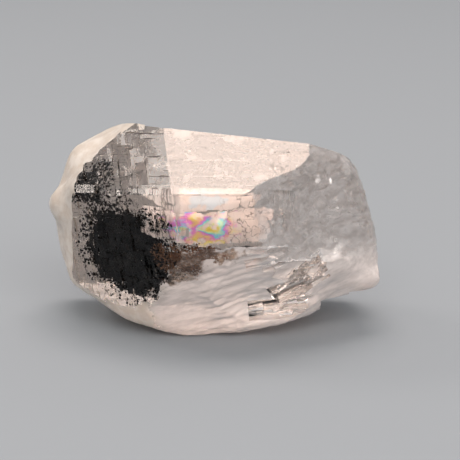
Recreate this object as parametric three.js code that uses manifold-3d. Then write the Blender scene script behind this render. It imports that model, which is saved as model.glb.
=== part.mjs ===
// A hand-sized quartz crystal with a black mineral inclusion near its pointed end.
// Millimetres, +Z up. The crystal lies on its side with its long axis along X.
// The origin is on the resting surface, under the middle of the crystal.

import * as THREE from "three";
import { mergeVertices } from "three/addons/utils/BufferGeometryUtils.js";
import Module from "manifold-3d";

const wasm = await Module();
wasm.setup();

// Driving dimensions.
const FRONT_FACE_Y = -18;
const BACK_FACE_Y = 15;
const CLEARANCE = 0.3;
const ROUGH_DETAIL = 14;
const HOLLOW_DETAIL = 18;
const INCLUSION_DETAIL = 5;
const SIDE_SHARPNESS = 28;
const LUMP_HEIGHT = 0.22;
const LOWER_BACK_EDGE_Z = 6.5;
const SKIN_EDGE_X = -14.5;
const CROWN_DISTANCE = 19.5;
const FAR = 120;

// The modelling axes run through the crystal's heart; the finished part is moved so that
// its origin is under the middle of its outline in plan.
const MIDDLE = new THREE.Vector3(-0.35, -1.5, 0);

// The inclusion is a flat patch that lies a few millimetres behind the lower end face.
const INCLUSION_CENTRE = new THREE.Vector3(-17, -3.5, 18.2);
const INCLUSION_HALF_SIZES = [12.5, 3.0, 10.2];
const INCLUSION_TURN = -35.5;

// A bright inner fracture, thin as a lens, slopes back and up behind the front face.
const FRACTURE_CENTRE = new THREE.Vector3(0.6, -12.6, 27.3);
const FRACTURE_HALF_SIZES = [10, 5.3, 0.4];
const FRACTURE_OUTWARD = new THREE.Vector3(0.02, -0.7, 0.71).normalize();
const FRACTURE_DETAIL = 4;

// The crystal is parted on a plane that slopes down to the back through both of them.
const PARTING_NORMAL = new THREE.Vector3(0, 0.685, 0.728).normalize();

// Corners where the smooth crystal faces meet.
const TOP_CORNER = new THREE.Vector3(-9.6, -2.7, 41.6);
const SHOULDER_CORNER = new THREE.Vector3(-7.7, FRONT_FACE_Y, 32.8);
const LOWER_CORNER = new THREE.Vector3(-6.3, FRONT_FACE_Y, 22.4);
const POINT_CORNER = new THREE.Vector3(-26.8, -4, 28.8);

// The rough outer surface is measured outwards from the heart of the crystal.
const HEART = new THREE.Vector3(0, -1, 20);

// Directions are given as they appear from the front, looking down by this angle:
// clock is the angle in view, from +X, and lean is the angle towards the viewer.
const VIEW_DOWN = 18;

// The flattish sides of the rough surface: clock, lean, distance from the heart.
const ROUGH_SIDES = {
  leftEndUpper: [163, 0, 33.8],
  leftEndLower: [186, 0, 33.0],
  leftFoot: [206, 0, 32.0],
  leftFootLower: [224, 0, 27.6],
  leftUnderside: [240, 0, 24.6],
  middleUnderside: [257, 0, 22.2],
  rightUnderside: [281, 0, 21.0],
  rightUndersideOuter: [293, 0, 22.9],
  rightFoot: [316, 0, 28.0],
  rightFootOuter: [346, 0, 34.6],
  rightEnd: [5, 0, 31.9],
  rightEndUpper: [22, 0, 30.7],
  rightShoulder: [62, 0, 25.3],
  leftCrown: [106, 0, 26.2],
  leftShoulder: [128, 0, 33.4],
  leftShoulderOuter: [147, 0, 36.2],
  lowerFront: [270, 47, 14.9],
  brokenFront: [346.5, 57.5, 18.9],
  brokenShoulder: [42, 46, 25.4],
  brokenLowerFront: [305.5, 41.5, 19.4],
  leftTopSkin: [134.5, 20.5, 25.9],
  leftFrontSkin: [192, 24.5, 25.4],
  leftLowerSkin: [232, 34, 20.0],
  front: [270, 72, 20.0],
  backLeft: [151.5, -37.5, 32.0],
  backRight: [28.5, -37.5, 28.0],
  back: [90, -72, 21.0],
  backLower: [270, -63, 21.5],
  base: [270, -18, 20.8],
};

// Swellings and dents in the rough surface: clock, lean, spread in degrees, height.
const ROUGH_BUMPS = {
  leftKnob: [171, -8, 6, 2.1],
  dentAboveKnob: [162, -8, 4, -1.0],
  dentBelowKnob: [180, -12, 4, -0.6],
  leftFootLump: [200, -10, 7, 1.1],
  crownLump: [150, -12, 8, 2.4],
  rightLobe: [341.5, 0, 5.5, 3.3],
  rightLobeFront: [345, 14, 7, 1.4],
  notchUnderLobe: [327, -2, 4.5, -1.2],
  dentAboveLobe: [1, 18, 7, -0.7],
  rightShoulderDent: [40, 4, 4, -0.6],
  shoulderSwell: [37, 37, 9, 1.2],
  frontSwell: [30, 66, 9, 1.1],
  frontDent: [335, 75, 7, -0.7],
  backHump: [100, -50, 14, 0.8],
  backDent: [200, -40, 12, -1.0],
};

// Shell-like hollows where the surface has broken: clock, lean, radius of the hollow, depth.
const SHELL_HOLLOWS = [
  [18, 33, 16, 0.8],
  [2, 24, 12, 0.7],
  [352, 48, 16, 0.6],
  [16, 52, 12, 0.5],
  [344, 34, 12, 0.6],
  [284, 36, 30, 0.7],
  [312, 40, 20, 0.5],
  [20, -24, 22, 1.0],
  [345, -38, 26, 1.1],
  [196, -20, 20, 0.8],
];

const clearQuartz = new THREE.MeshStandardMaterial({
  name: "clear_quartz",
  color: 0xe9ddd6,
  roughness: 0.08,
  metalness: 0,
  transparent: true,
  opacity: 0.45,
});
const fractureFilm = new THREE.MeshStandardMaterial({
  name: "fracture_film",
  color: 0xf2dcd2,
  roughness: 0.3,
  metalness: 0,
});
const darkMineral = new THREE.MeshStandardMaterial({
  name: "dark_mineral",
  color: 0x14100e,
  roughness: 0.45,
  metalness: 0,
});

function directionInView(clock, lean) {
  const across = THREE.MathUtils.degToRad(clock);
  const towards = THREE.MathUtils.degToRad(lean);
  const direction = new THREE.Vector3(
    Math.cos(towards) * Math.cos(across),
    -Math.sin(towards),
    Math.cos(towards) * Math.sin(across),
  );
  return direction.applyAxisAngle(new THREE.Vector3(1, 0, 0), THREE.MathUtils.degToRad(-VIEW_DOWN));
}

function toSolid(geometry) {
  const bare = geometry.clone();
  bare.deleteAttribute("normal");
  bare.deleteAttribute("uv");
  const merged = mergeVertices(bare, 1e-5);
  return new wasm.Manifold(new wasm.Mesh({
    numProp: 3,
    vertProperties: new Float32Array(merged.attributes.position.array),
    triVerts: new Uint32Array(merged.index.array),
  }));
}

function toGeometry(solid) {
  const mesh = solid.getMesh();
  const geometry = new THREE.BufferGeometry();
  geometry.setAttribute("position", new THREE.BufferAttribute(new Float32Array(mesh.vertProperties), 3));
  geometry.setIndex(new THREE.BufferAttribute(new Uint32Array(mesh.triVerts), 1));
  geometry.computeVertexNormals();
  return geometry;
}

// A ball of even triangles whose radius in each direction comes from a function.
function starSolid(centre, detail, radiusIn) {
  const geometry = new THREE.IcosahedronGeometry(1, detail);
  const position = geometry.attributes.position;
  const direction = new THREE.Vector3();
  for (let i = 0; i < position.count; i += 1) {
    direction.fromBufferAttribute(position, i).normalize();
    const radius = radiusIn(direction);
    position.setXYZ(
      i,
      centre.x + direction.x * radius,
      centre.y + direction.y * radius,
      centre.z + direction.z * radius,
    );
  }
  return toSolid(geometry);
}

// Gentle uneven swellings, from three crossing waves.
function lumps(direction, pitch) {
  return (
    Math.sin(direction.x * pitch + 1.3) * Math.cos(direction.y * pitch * 1.2 + 0.4)
    + Math.sin(direction.z * pitch * 0.9 + 2.1) * Math.cos(direction.x * pitch * 1.4 + 3.0)
    + Math.sin(direction.y * pitch * 1.6 + 0.7) * Math.cos(direction.z * pitch * 1.3 + 1.9)
  );
}

const roughSides = Object.values(ROUGH_SIDES).map(([clock, lean, distance]) => ({
  normal: directionInView(clock, lean),
  distance,
}));
const roughBumps = Object.values(ROUGH_BUMPS).map(([clock, lean, spread, height]) => ({
  middle: directionInView(clock, lean),
  spread: THREE.MathUtils.degToRad(spread),
  height,
}));

// Flattish sides with rounded meetings between them, then the swellings and dents.
function roughRadius(direction) {
  let sum = 0;
  for (const side of roughSides) {
    const facing = Math.max(0, direction.dot(side.normal)) / side.distance;
    sum += facing ** SIDE_SHARPNESS;
  }
  let radius = sum ** (-1 / SIDE_SHARPNESS) + LUMP_HEIGHT * lumps(direction, 7);
  for (const bump of roughBumps) {
    const away = direction.angleTo(bump.middle) / bump.spread;
    radius += bump.height * Math.exp(-(away ** 2));
  }
  return radius;
}

// The outward direction of the rough surface itself, from three points close together.
function roughNormal(direction) {
  const nearby = 0.05;
  const side = new THREE.Vector3().crossVectors(direction, new THREE.Vector3(0, 1, 0)).normalize();
  const other = new THREE.Vector3().crossVectors(side, direction);
  const [from, first, second] = [new THREE.Vector3(), side, other].map((offset) => {
    const moved = direction.clone().addScaledVector(offset, nearby).normalize();
    return moved.clone().multiplyScalar(roughRadius(moved));
  });
  const normal = first.sub(from).cross(second.sub(from)).normalize();
  return normal.dot(direction) < 0 ? normal.negate() : normal;
}

// A block that takes away everything outside one flat face.
function blockOutside(normal, point) {
  const geometry = new THREE.BoxGeometry(FAR, FAR, FAR);
  const turn = new THREE.Quaternion().setFromUnitVectors(new THREE.Vector3(0, 0, 1), normal);
  geometry.translate(0, 0, FAR / 2);
  geometry.applyQuaternion(turn);
  geometry.translate(point.x, point.y, point.z);
  return toSolid(geometry);
}

function normalThrough(first, second, third) {
  const normal = new THREE.Vector3()
    .crossVectors(second.clone().sub(first), third.clone().sub(first))
    .normalize();
  if (normal.dot(first.clone().sub(HEART)) < 0) normal.negate();
  return normal;
}

// A slanted block on a flat face. Its sides run along two directions in the face,
// from and to the given shares of them, and its floor lies a little below the face.
function blockOnFace(face, [alongFrom, alongTo], [edgeFrom, edgeTo], depth) {
  const above = 2;
  const geometry = new THREE.BoxGeometry(1, 1, 1);
  geometry.translate(0.5, 0.5, 0);
  const length = face.along.clone().multiplyScalar(alongTo - alongFrom);
  const width = face.edge.clone().multiplyScalar(edgeTo - edgeFrom);
  const height = face.normal.clone().multiplyScalar(above + depth);
  const corner = face.corner.clone()
    .addScaledVector(face.along, alongFrom)
    .addScaledVector(face.edge, edgeFrom)
    .addScaledVector(face.normal, (above - depth) / 2);
  const placed = new THREE.Matrix4().makeBasis(length, width, height);
  if (placed.determinant() < 0) {
    placed.makeBasis(width, length, height);
  }
  geometry.applyMatrix4(placed);
  geometry.translate(corner.x, corner.y, corner.z);
  return toSolid(geometry);
}

function turnedBlock({ centre, along, outward, length, height, depth }) {
  const outwardAxis = outward.clone().normalize();
  const acrossAxis = new THREE.Vector3().crossVectors(outwardAxis, along).normalize();
  const alongAxis = new THREE.Vector3().crossVectors(acrossAxis, outwardAxis);
  const geometry = new THREE.BoxGeometry(length, height, depth);
  geometry.applyMatrix4(new THREE.Matrix4().makeBasis(alongAxis, acrossAxis, outwardAxis));
  geometry.translate(centre.x, centre.y, centre.z);
  return toSolid(geometry);
}

// A rounded lump with squarish shoulders.
function boulder({ centre, halfSizes, tilt = [0, 0, 0], squareness = 3, detail = 6, unevenness = 0 }) {
  const [tiltX, tiltY, tiltZ] = tilt.map((angle) => THREE.MathUtils.degToRad(angle));
  const back = new THREE.Quaternion().setFromEuler(new THREE.Euler(tiltX, tiltY, tiltZ)).invert();
  const local = new THREE.Vector3();
  return starSolid(centre, detail, (direction) => {
    local.copy(direction).applyQuaternion(back);
    const sum = Math.abs(local.x / halfSizes[0]) ** squareness
      + Math.abs(local.y / halfSizes[1]) ** squareness
      + Math.abs(local.z / halfSizes[2]) ** squareness;
    return sum ** (-1 / squareness) * (1 + unevenness * lumps(direction, 5));
  });
}

const upperFrontNormal = new THREE.Vector3(0, -0.5, 0.866).normalize();
const upperBackNormal = new THREE.Vector3(0.13, 0.49, 0.86).normalize();
const crownNormal = directionInView(84, 0);
const lowerBackNormal = new THREE.Vector3(0, 0.5, -0.866).normalize();
const alongCrystal = new THREE.Vector3(1, 0, 0);

// The two end faces share the edge from the shoulder to the point.
const pointEdge = POINT_CORNER.clone().sub(SHOULDER_CORNER);
const upperEndFace = {
  corner: SHOULDER_CORNER,
  along: pointEdge,
  edge: TOP_CORNER.clone().sub(SHOULDER_CORNER),
  normal: normalThrough(TOP_CORNER, SHOULDER_CORNER, POINT_CORNER),
};
const lowerEndFace = {
  corner: SHOULDER_CORNER,
  along: pointEdge,
  edge: LOWER_CORNER.clone().sub(SHOULDER_CORNER),
  normal: normalThrough(SHOULDER_CORNER, LOWER_CORNER, POINT_CORNER),
};

// On the long faces, shares along and across are plain millimetres.
const frontFace = {
  corner: SHOULDER_CORNER,
  along: alongCrystal,
  edge: new THREE.Vector3(0, 0, -1),
  normal: new THREE.Vector3(0, -1, 0),
};
const upperBackFace = {
  corner: TOP_CORNER,
  along: alongCrystal.clone().projectOnPlane(upperBackNormal).normalize(),
  edge: new THREE.Vector3(0, 1, 0).projectOnPlane(upperBackNormal).normalize(),
  normal: upperBackNormal,
};
const backFace = {
  corner: new THREE.Vector3(0, BACK_FACE_Y, 0),
  along: alongCrystal,
  edge: new THREE.Vector3(0, 0, 1),
  normal: new THREE.Vector3(0, 1, 0),
};

// The upper back face stops at the milky skin that has grown over the left end.
function upperBackCut() {
  const cut = blockOutside(upperBackNormal, TOP_CORNER);
  const skinSide = blockOutside(
    new THREE.Vector3(-1, 0.25, -0.9).normalize(),
    new THREE.Vector3(SKIN_EDGE_X, 2.6, 40.2),
  );
  return cut.subtract(skinSide);
}

// The six-sided prism, the two end faces that meet at the point, and the resting face.
function cutCrystalFaces(solid) {
  const faces = [
    [upperFrontNormal, SHOULDER_CORNER],
    [frontFace.normal, SHOULDER_CORNER],
    [backFace.normal, backFace.corner],
    [lowerBackNormal, new THREE.Vector3(0, BACK_FACE_Y, LOWER_BACK_EDGE_Z)],
    [upperEndFace.normal, TOP_CORNER],
    [lowerEndFace.normal, SHOULDER_CORNER],
    [crownNormal, HEART.clone().addScaledVector(crownNormal, CROWN_DISTANCE)],
  ];
  return faces
    .reduce((rest, [normal, point]) => rest.subtract(blockOutside(normal, point)), solid)
    .subtract(upperBackCut());
}

// Sunken growth steps: each takes shares along, shares across, and a depth.
function cutGrowthSteps(solid) {
  const steps = [
    [upperEndFace, [0.05, 0.29], [-0.1, 1.1], 0.22],
    [upperEndFace, [0.1, 0.21], [0.06, 0.95], 0.5],
    [upperEndFace, [0.29, 0.52], [0.46, 1.1], 0.3],
    [upperEndFace, [0.35, 0.46], [0.26, 0.78], 0.62],
    [upperEndFace, [0.52, 1.1], [-0.1, 0.34], 0.28],
    [upperEndFace, [0.58, 0.8], [0.14, 0.52], 0.6],
    [upperEndFace, [0.74, 0.96], [0.3, 0.7], 0.4],
    [lowerEndFace, [0.04, 0.2], [-0.1, 1.25], 0.22],
    [lowerEndFace, [0.08, 0.14], [0.05, 1.1], 0.5],
    [lowerEndFace, [0.26, 0.5], [0.12, 0.8], 0.32],
    [lowerEndFace, [0.32, 0.62], [0.5, 1.2], 0.62],
    [lowerEndFace, [0.6, 1.1], [0.34, 0.9], 0.3],
    [lowerEndFace, [0.7, 0.86], [0.16, 0.7], 0.68],
    [lowerEndFace, [0.5, 0.9], [1.35, 1.75], 0.4],
    [lowerEndFace, [0.14, 0.34], [1.4, 2.0], 0.35],
    [frontFace, [12.2, 20.0], [0.8, 9.6], 0.35],
    [frontFace, [13.6, 20.0], [1.8, 7.6], 0.8],
    [frontFace, [15.0, 20.0], [3.2, 6.2], 1.4],
    [upperBackFace, [-8, 12], [4.5, 9], 0.35],
    [upperBackFace, [4, 30], [9, 20], 0.5],
    [upperBackFace, [14, 30], [12, 20], 1.0],
    [backFace, [-40, -8], [12, 21], 0.45],
    [backFace, [-24, -12], [15, 26], 0.9],
    [backFace, [4, 40], [19, 29], 0.4],
    [backFace, [14, 40], [10, 22], 0.8],
  ];
  return steps.reduce((rest, step) => rest.subtract(blockOnFace(...step)), solid);
}

function cutShellHollows(solid) {
  return SHELL_HOLLOWS.reduce((rest, [clock, lean, radius, depth]) => {
    const direction = directionInView(clock, lean);
    const centre = HEART.clone()
      .addScaledVector(direction, roughRadius(direction))
      .addScaledVector(roughNormal(direction), radius - depth);
    return rest.subtract(starSolid(centre, HOLLOW_DETAIL, () => radius));
  }, solid);
}

// Ledges and the stepped recess under the broken front.
function cutLedges(solid) {
  const brokenNormal = directionInView(318, 48);
  const ledgeRun = new THREE.Vector3(0.86, 0.5, -0.12);
  const ledges = [
    { centre: [17.0, -13.0, 15.6], length: 10.4, height: 3.9, depth: 2.6 },
    { centre: [14.4, -14.4, 15.0], length: 5.0, height: 2.2, depth: 3.8 },
    { centre: [19.8, -11.6, 14.2], length: 4.2, height: 1.3, depth: 4.2 },
    { centre: [9.6, -15.2, 9.8], length: 3.2, height: 2.6, depth: 2.4 },
    { centre: [10.4, -16.4, 20.9], length: 9.5, height: 1.0, depth: 1.8 },
    { centre: [15.0, -12.2, 9.9], length: 7.5, height: 0.7, depth: 1.2 },
  ];
  return ledges.reduce((rest, ledge) => rest.subtract(turnedBlock({
    ...ledge,
    centre: new THREE.Vector3(...ledge.centre),
    along: ledgeRun,
    outward: brokenNormal,
  })), solid);
}

// The right end overhangs the ground in two steps.
function cutOverhang(solid) {
  const steps = [
    { centre: [34.0, 0, 0.6], length: 13.6, height: 60, depth: 16.6 },
    { centre: [29.0, 0, -1.2], length: 15.0, height: 60, depth: 18.0 },
  ];
  const outward = new THREE.Vector3(0.05, -0.02, -1);
  return steps.reduce((rest, step) => rest.subtract(turnedBlock({
    ...step,
    centre: new THREE.Vector3(...step.centre),
    along: alongCrystal,
    outward,
  })), solid);
}

// The black inclusion, or with some growth the pocket that it sits in.
function inclusionSolid(growth) {
  return boulder({
    centre: INCLUSION_CENTRE,
    halfSizes: INCLUSION_HALF_SIZES.map((size) => size + growth),
    tilt: [0, 0, INCLUSION_TURN],
    squareness: 2.4,
    detail: INCLUSION_DETAIL,
    unevenness: 0.035,
  });
}

// The fracture, or with some growth the pocket that it sits in.
function fractureSolid(growth) {
  const [length, width, thickness] = FRACTURE_HALF_SIZES.map((size) => size + growth);
  const along = alongCrystal.clone().projectOnPlane(FRACTURE_OUTWARD).normalize();
  const edge = new THREE.Vector3().crossVectors(FRACTURE_OUTWARD, along);
  const lens = new THREE.IcosahedronGeometry(1, FRACTURE_DETAIL);
  lens.applyMatrix4(new THREE.Matrix4().makeBasis(
    along.multiplyScalar(length),
    edge.multiplyScalar(width),
    FRACTURE_OUTWARD.clone().multiplyScalar(thickness),
  ));
  lens.translate(FRACTURE_CENTRE.x, FRACTURE_CENTRE.y, FRACTURE_CENTRE.z);
  return toSolid(lens);
}

function wholeCrystal() {
  let crystal = cutCrystalFaces(starSolid(HEART, ROUGH_DETAIL, roughRadius));
  crystal = cutOverhang(crystal);
  crystal = cutGrowthSteps(crystal);
  crystal = cutShellHollows(crystal);
  crystal = cutLedges(crystal);
  return crystal.subtract(blockOutside(new THREE.Vector3(0, 0, -1), new THREE.Vector3(0, 0, 0)));
}

const pocketGrowth = CLEARANCE * 1.5;
const withPockets = wholeCrystal()
  .subtract(inclusionSolid(pocketGrowth))
  .subtract(fractureSolid(pocketGrowth));

// Half of the crystal, on one side of the parting plane and a little back from it.
function crystalHalf(side) {
  const away = PARTING_NORMAL.clone().multiplyScalar(side);
  const edge = INCLUSION_CENTRE.clone().addScaledVector(away, CLEARANCE / 2);
  return withPockets.subtract(blockOutside(away.negate(), edge));
}

const crystalGroup = new THREE.Group();
crystalGroup.position.copy(MIDDLE).negate();
const pieces = [
  ["quartz_upper", crystalHalf(1), clearQuartz],
  ["quartz_lower", crystalHalf(-1), clearQuartz],
  ["dark_inclusion", inclusionSolid(0), darkMineral],
  ["fracture_film", fractureSolid(0), fractureFilm],
];
for (const [name, solid, material] of pieces) {
  const piece = new THREE.Mesh(toGeometry(solid), material);
  piece.name = name;
  crystalGroup.add(piece);
}

export default crystalGroup;
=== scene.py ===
"""A natural quartz crystal lying on its side, with a black mineral inclusion near its point."""

import math

import bmesh
import bpy
import numpy as np
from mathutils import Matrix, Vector
from mathutils.bvhtree import BVHTree


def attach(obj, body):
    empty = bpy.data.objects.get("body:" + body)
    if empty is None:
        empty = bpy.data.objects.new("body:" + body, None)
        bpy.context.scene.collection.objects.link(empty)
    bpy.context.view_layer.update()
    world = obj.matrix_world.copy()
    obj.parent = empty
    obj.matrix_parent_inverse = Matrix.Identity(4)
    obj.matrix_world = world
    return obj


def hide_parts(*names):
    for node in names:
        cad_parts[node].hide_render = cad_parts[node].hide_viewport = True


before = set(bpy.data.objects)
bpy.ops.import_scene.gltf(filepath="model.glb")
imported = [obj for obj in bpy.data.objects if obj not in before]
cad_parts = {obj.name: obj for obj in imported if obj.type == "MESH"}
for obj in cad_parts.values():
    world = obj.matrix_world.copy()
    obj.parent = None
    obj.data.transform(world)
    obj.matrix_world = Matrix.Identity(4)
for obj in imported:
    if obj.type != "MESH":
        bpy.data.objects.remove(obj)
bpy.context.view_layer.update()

# The crystal is laid out in millimetres about its own heart and then moved by MIDDLE.
MM = 0.001
MIDDLE = np.array([-0.35, -1.5, 0.0])
HEART = np.array([0.0, -1.0, 20.0])
VIEW_DOWN = math.radians(18)

FRONT_FACE_Y = -18.0
BACK_FACE_Y = 15.0
LOWER_BACK_EDGE_Z = 6.5
SKIN_EDGE_X = -14.5
CROWN_SIDE = (84, 0)
CROWN_DISTANCE = 19.5
SIDE_SHARPNESS = 28
LUMP_HEIGHT = 0.22

# The ball of triangles that the rough surface starts from is drawn this far towards one side.
BALL_SUBDIVISIONS = 7
BALL_SHIFT = 0.45
FINEST_SIDE = (330, 30)

# The streaks of the break rise to the right as seen from the front, by this angle in degrees.
BREAK_RISE = 22

# Ripples in the break, round the points where it began: place and pitch.
BREAK_RIPPLES = (
    ((6.0, -17.0, 30.0), 1.5),
    ((30.0, -2.0, 34.0), 1.9),
    ((8.0, -10.0, 3.0), 1.7),
)

# The solid heart of the black inclusion.
CORE_CENTRE = (-16.6, -4.6, 17.2)
CORE_HALF_SIZES = (9.6, 3.0, 8.2)
INCLUSION_TURN = -35.5

# Corners where the smooth crystal faces meet.
TOP_CORNER = np.array([-9.6, -2.7, 41.6])
SHOULDER_CORNER = np.array([-7.7, FRONT_FACE_Y, 32.8])
LOWER_CORNER = np.array([-6.3, FRONT_FACE_Y, 22.4])
POINT_CORNER = np.array([-26.8, -4.0, 28.8])

# The flattish sides of the rough surface: clock, lean, distance from the heart.
ROUGH_SIDES = {
    "left end upper": (163, 0, 33.8),
    "left end lower": (186, 0, 33.0),
    "left foot": (206, 0, 32.0),
    "left foot lower": (224, 0, 27.6),
    "left underside": (240, 0, 24.6),
    "middle underside": (257, 0, 22.2),
    "right underside": (281, 0, 21.0),
    "right underside outer": (293, 0, 22.9),
    "right foot": (316, 0, 28.0),
    "right foot outer": (346, 0, 34.6),
    "right end": (5, 0, 31.9),
    "right end upper": (22, 0, 30.7),
    "right shoulder": (62, 0, 25.3),
    "left crown": (106, 0, 26.2),
    "left shoulder": (128, 0, 33.4),
    "left shoulder outer": (147, 0, 36.2),
    "lower front": (270, 47, 14.9),
    "broken front": (346.5, 57.5, 18.9),
    "broken shoulder": (42, 46, 25.4),
    "broken lower front": (305.5, 41.5, 19.4),
    "left top skin": (134.5, 20.5, 25.9),
    "left front skin": (192, 24.5, 25.4),
    "left lower skin": (232, 34, 20.0),
    "front": (270, 72, 20.0),
    "back left": (151.5, -37.5, 32.0),
    "back right": (28.5, -37.5, 28.0),
    "back": (90, -72, 21.0),
    "back lower": (270, -63, 21.5),
    "base": (270, -18, 20.8),
}

# Swellings and dents in the rough surface: clock, lean, spread in degrees, height.
ROUGH_BUMPS = {
    "left knob": (171, -8, 6, 2.1),
    "dent above knob": (162, -8, 4, -1.0),
    "dent below knob": (180, -12, 4, -0.6),
    "left foot lump": (200, -10, 7, 1.1),
    "crown lump": (150, -12, 8, 2.4),
    "right lobe": (341.5, 0, 5.5, 3.3),
    "right lobe front": (345, 14, 7, 1.4),
    "notch under lobe": (327, -2, 4.5, -1.2),
    "dent above lobe": (1, 18, 7, -0.7),
    "right shoulder dent": (40, 4, 4, -0.6),
    "shoulder swell": (37, 37, 9, 1.2),
    "front swell": (30, 66, 9, 1.1),
    "front dent": (335, 75, 7, -0.7),
    "back hump": (100, -50, 14, 0.8),
    "back dent": (200, -40, 12, -1.0),
}

# Shell-like hollows where the surface has broken: clock, lean, radius of the hollow, depth.
SHELL_HOLLOWS = (
    (18, 33, 16, 0.8),
    (2, 24, 12, 0.7),
    (352, 48, 16, 0.6),
    (16, 52, 12, 0.5),
    (344, 34, 12, 0.6),
    (284, 36, 30, 0.7),
    (312, 40, 20, 0.5),
    (20, -24, 22, 1.0),
    (345, -38, 26, 1.1),
    (196, -20, 20, 0.8),
)

# The finish that a cutter leaves on the crystal.
ROUGH, FACE, BACK_SIDE = 0, 1, 2

# Growth steps: the face, spans along and down it, numbers of lines, number of blocks, longest
# block sides, step depth, greatest depth (all in mm), tilt and lean in degrees.
GROWTH_STEPS = {
    "upper_end": ("upper_end", (0.4, 27.0), (-3.0, 22.0), (34, 26), 120, (4.5, 6.5), 0.18, 0.6, 2.2, 8.0),
    "lower_end": ("lower_end", (0.4, 28.0), (0.2, 27.0), (46, 44), 260, (3.0, 4.0), 0.16, 0.6, 3.5, 0.0),
    "front": ("front", (8.5, 19.0), (0.4, 10.6), (18, 16), 50, (3.0, 4.0), 0.35, 1.3, 5.0, 0.0),
    "front_edge": ("front", (0.1, 2.6), (0.3, 10.4), (9, 5), 9, (0.5, 9.0), 0.12, 0.25, 2.0, 0.0),
    "upper_front": (
        "upper_front", (18.5, 27.0), (1.0, 17.4), (22, 12), 26, (0.7, 9.0), 0.06, 0.12, 0.6, 0.0),
    "upper_back": (
        "upper_back", (-4.0, 34.0), (2.0, 24.0), (18, 14), 26, (14.0, 9.0), 0.3, 0.7, 0.5, 0.0),
    "back": ("back", (-34.0, 34.0), (8.0, 34.0), (22, 16), 34, (18.0, 10.0), 0.3, 0.8, 0.5, 0.0),
}

GROWTH_SEED = 41

# The steps of the front face grow from nothing, from this far along it and over this length.
FRONT_STEPS_START = 9.5
FRONT_STEPS_GROWTH = 5

# Splintered patches on the broken front: middle, direction of the splinters, outward direction,
# length and width, longest splinter as a share of the length, number of splinters, depth of each,
# tilt in degrees, finish.
SPLINTERS = {
    "dark_block": (
        (16.6, -10.9, 12.9), (0.8, 0.1, 0.55), (0.12, -0.93, -0.33), (12.0, 5.8), 0.9, 60, 0.7, 20, FACE),
    "bright_band": (
        (13.4, -10.2, 7.2), (0.99, 0.06, 0.1), (0.05, -0.9, -0.4), (13.5, 5.0), 0.9, 44, 0.3, 14, FACE),
    "striped_shelf": (
        (10.8, -15.4, 18.3), (0.95, 0.1, 0.24), (0.2, -0.88, -0.4), (9.5, 4.2), 0.9, 34, 0.3, 14, ROUGH),
    "bright_blocks": (
        (12.2, -14.9, 27.4), (0.15, 0.2, 0.97), (0.66, -0.7, 0.26), (10.0, 7.0), 0.3, 50, 0.3, 16, ROUGH),
}
SPLINTER_WIDTH = 0.9
SPLINTER_LINES = (16, 22)
SPLINTER_SEED = 17

# Blocks broken out of the front: middle, and length, width and depth.
LEDGES = (
    ((17.0, -13.0, 15.6), (10.4, 3.9, 2.6)),
    ((14.4, -14.4, 15.0), (5.0, 2.2, 3.8)),
    ((19.8, -11.6, 14.2), (4.2, 1.3, 4.2)),
    ((9.6, -15.2, 9.8), (3.2, 2.6, 2.4)),
    ((10.4, -16.4, 20.9), (9.5, 1.0, 1.8)),
    ((15.0, -12.2, 9.9), (7.5, 0.7, 1.2)),
)
LEDGE_SIDE = (318, 48)
LEDGE_RUN = np.array([0.86, 0.5, -0.12])

# The overhang below the right end is cut in two steps: middle, and length, width and depth.
OVERHANG_STEPS = (
    ((34.0, 0, 0.6), (13.6, 60, 16.6)),
    ((29.0, 0, -1.2), (15.0, 60, 18.0)),
)
OVERHANG_OUTWARD = (0.05, -0.02, -1)

# The rough skin hides the upper back face on the far side of this plane.
SKIN_SIDE_OUTWARD = (-1, 0.25, -0.9)
SKIN_SIDE_POINT = (SKIN_EDGE_X, 2.6, 40.2)

# Edges of the crystal sharper than this angle, in degrees, stay sharp in the shading.
SHARP_EDGE = 28
SHARP_FILM_EDGE = 40

# Grain clouds: count, centre, half sizes, turn about Z, gathering, clump size, clumping, grain size,
# in millimetres and degrees.
GRAIN_CLOUDS = {
    "black_grains": (12000, (-16.2, -8.0, 18.4), (14.0, 2.8, 11.5), INCLUSION_TURN, 0.5, 2.2, 0.45, 0.46),
    "black_specks": (3000, (-8.6, -11.0, 8.4), (11.5, 3.2, 5.2), -20, 0.6, 2.2, 0.5, 0.28),
    "brown_dust": (9000, (-5.5, -14.9, 18.7), (9.5, 2.8, 3.8), -4, 0.6, 2.0, 0.42, 0.3),
    "point_grains": (6000, (-25.5, 0.5, 30.5), (8.5, 4.0, 5.5), INCLUSION_TURN, 0.6, 1.8, 0.46, 0.4),
}
GRAIN_CLEARANCE = 0.25

# Fracture sheets: middle, outward direction, length and width, waviness, density per square metre,
# flake size, tilt, clump size, clumping.
FRACTURES = {
    "silver_fracture": ((18.0, -4.0, 26.0), (-0.3, -0.8, 0.5), (18.0, 16.0), 2.0, 1.2e6, 0.55, 0.3, 3.0, 0.5),
}
FLAKE_CLEARANCE = 0.3

# The two leaves of the bright fracture: middle, outward direction, length and width, waviness.
BRIGHT_FRACTURE = (
    ((-0.4, -14.5, 25.4), (0.02, -0.7, 0.71), (27.0, 9.5), 0.6),
    ((-1.0, -16.3, 30.7), (0.0, -0.80, 0.60), (25.0, 4.4), 0.15),
)
# Left of this place the leaves bend back along the lower end face, at this slope.
BRIGHT_FRACTURE_BEND = -6.5
BRIGHT_FRACTURE_SLOPE = 0.72
LEAF_THICKNESS = 0.08
LEAF_CLEARANCE = 0.35
SHEET_PITCH = 0.3

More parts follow.
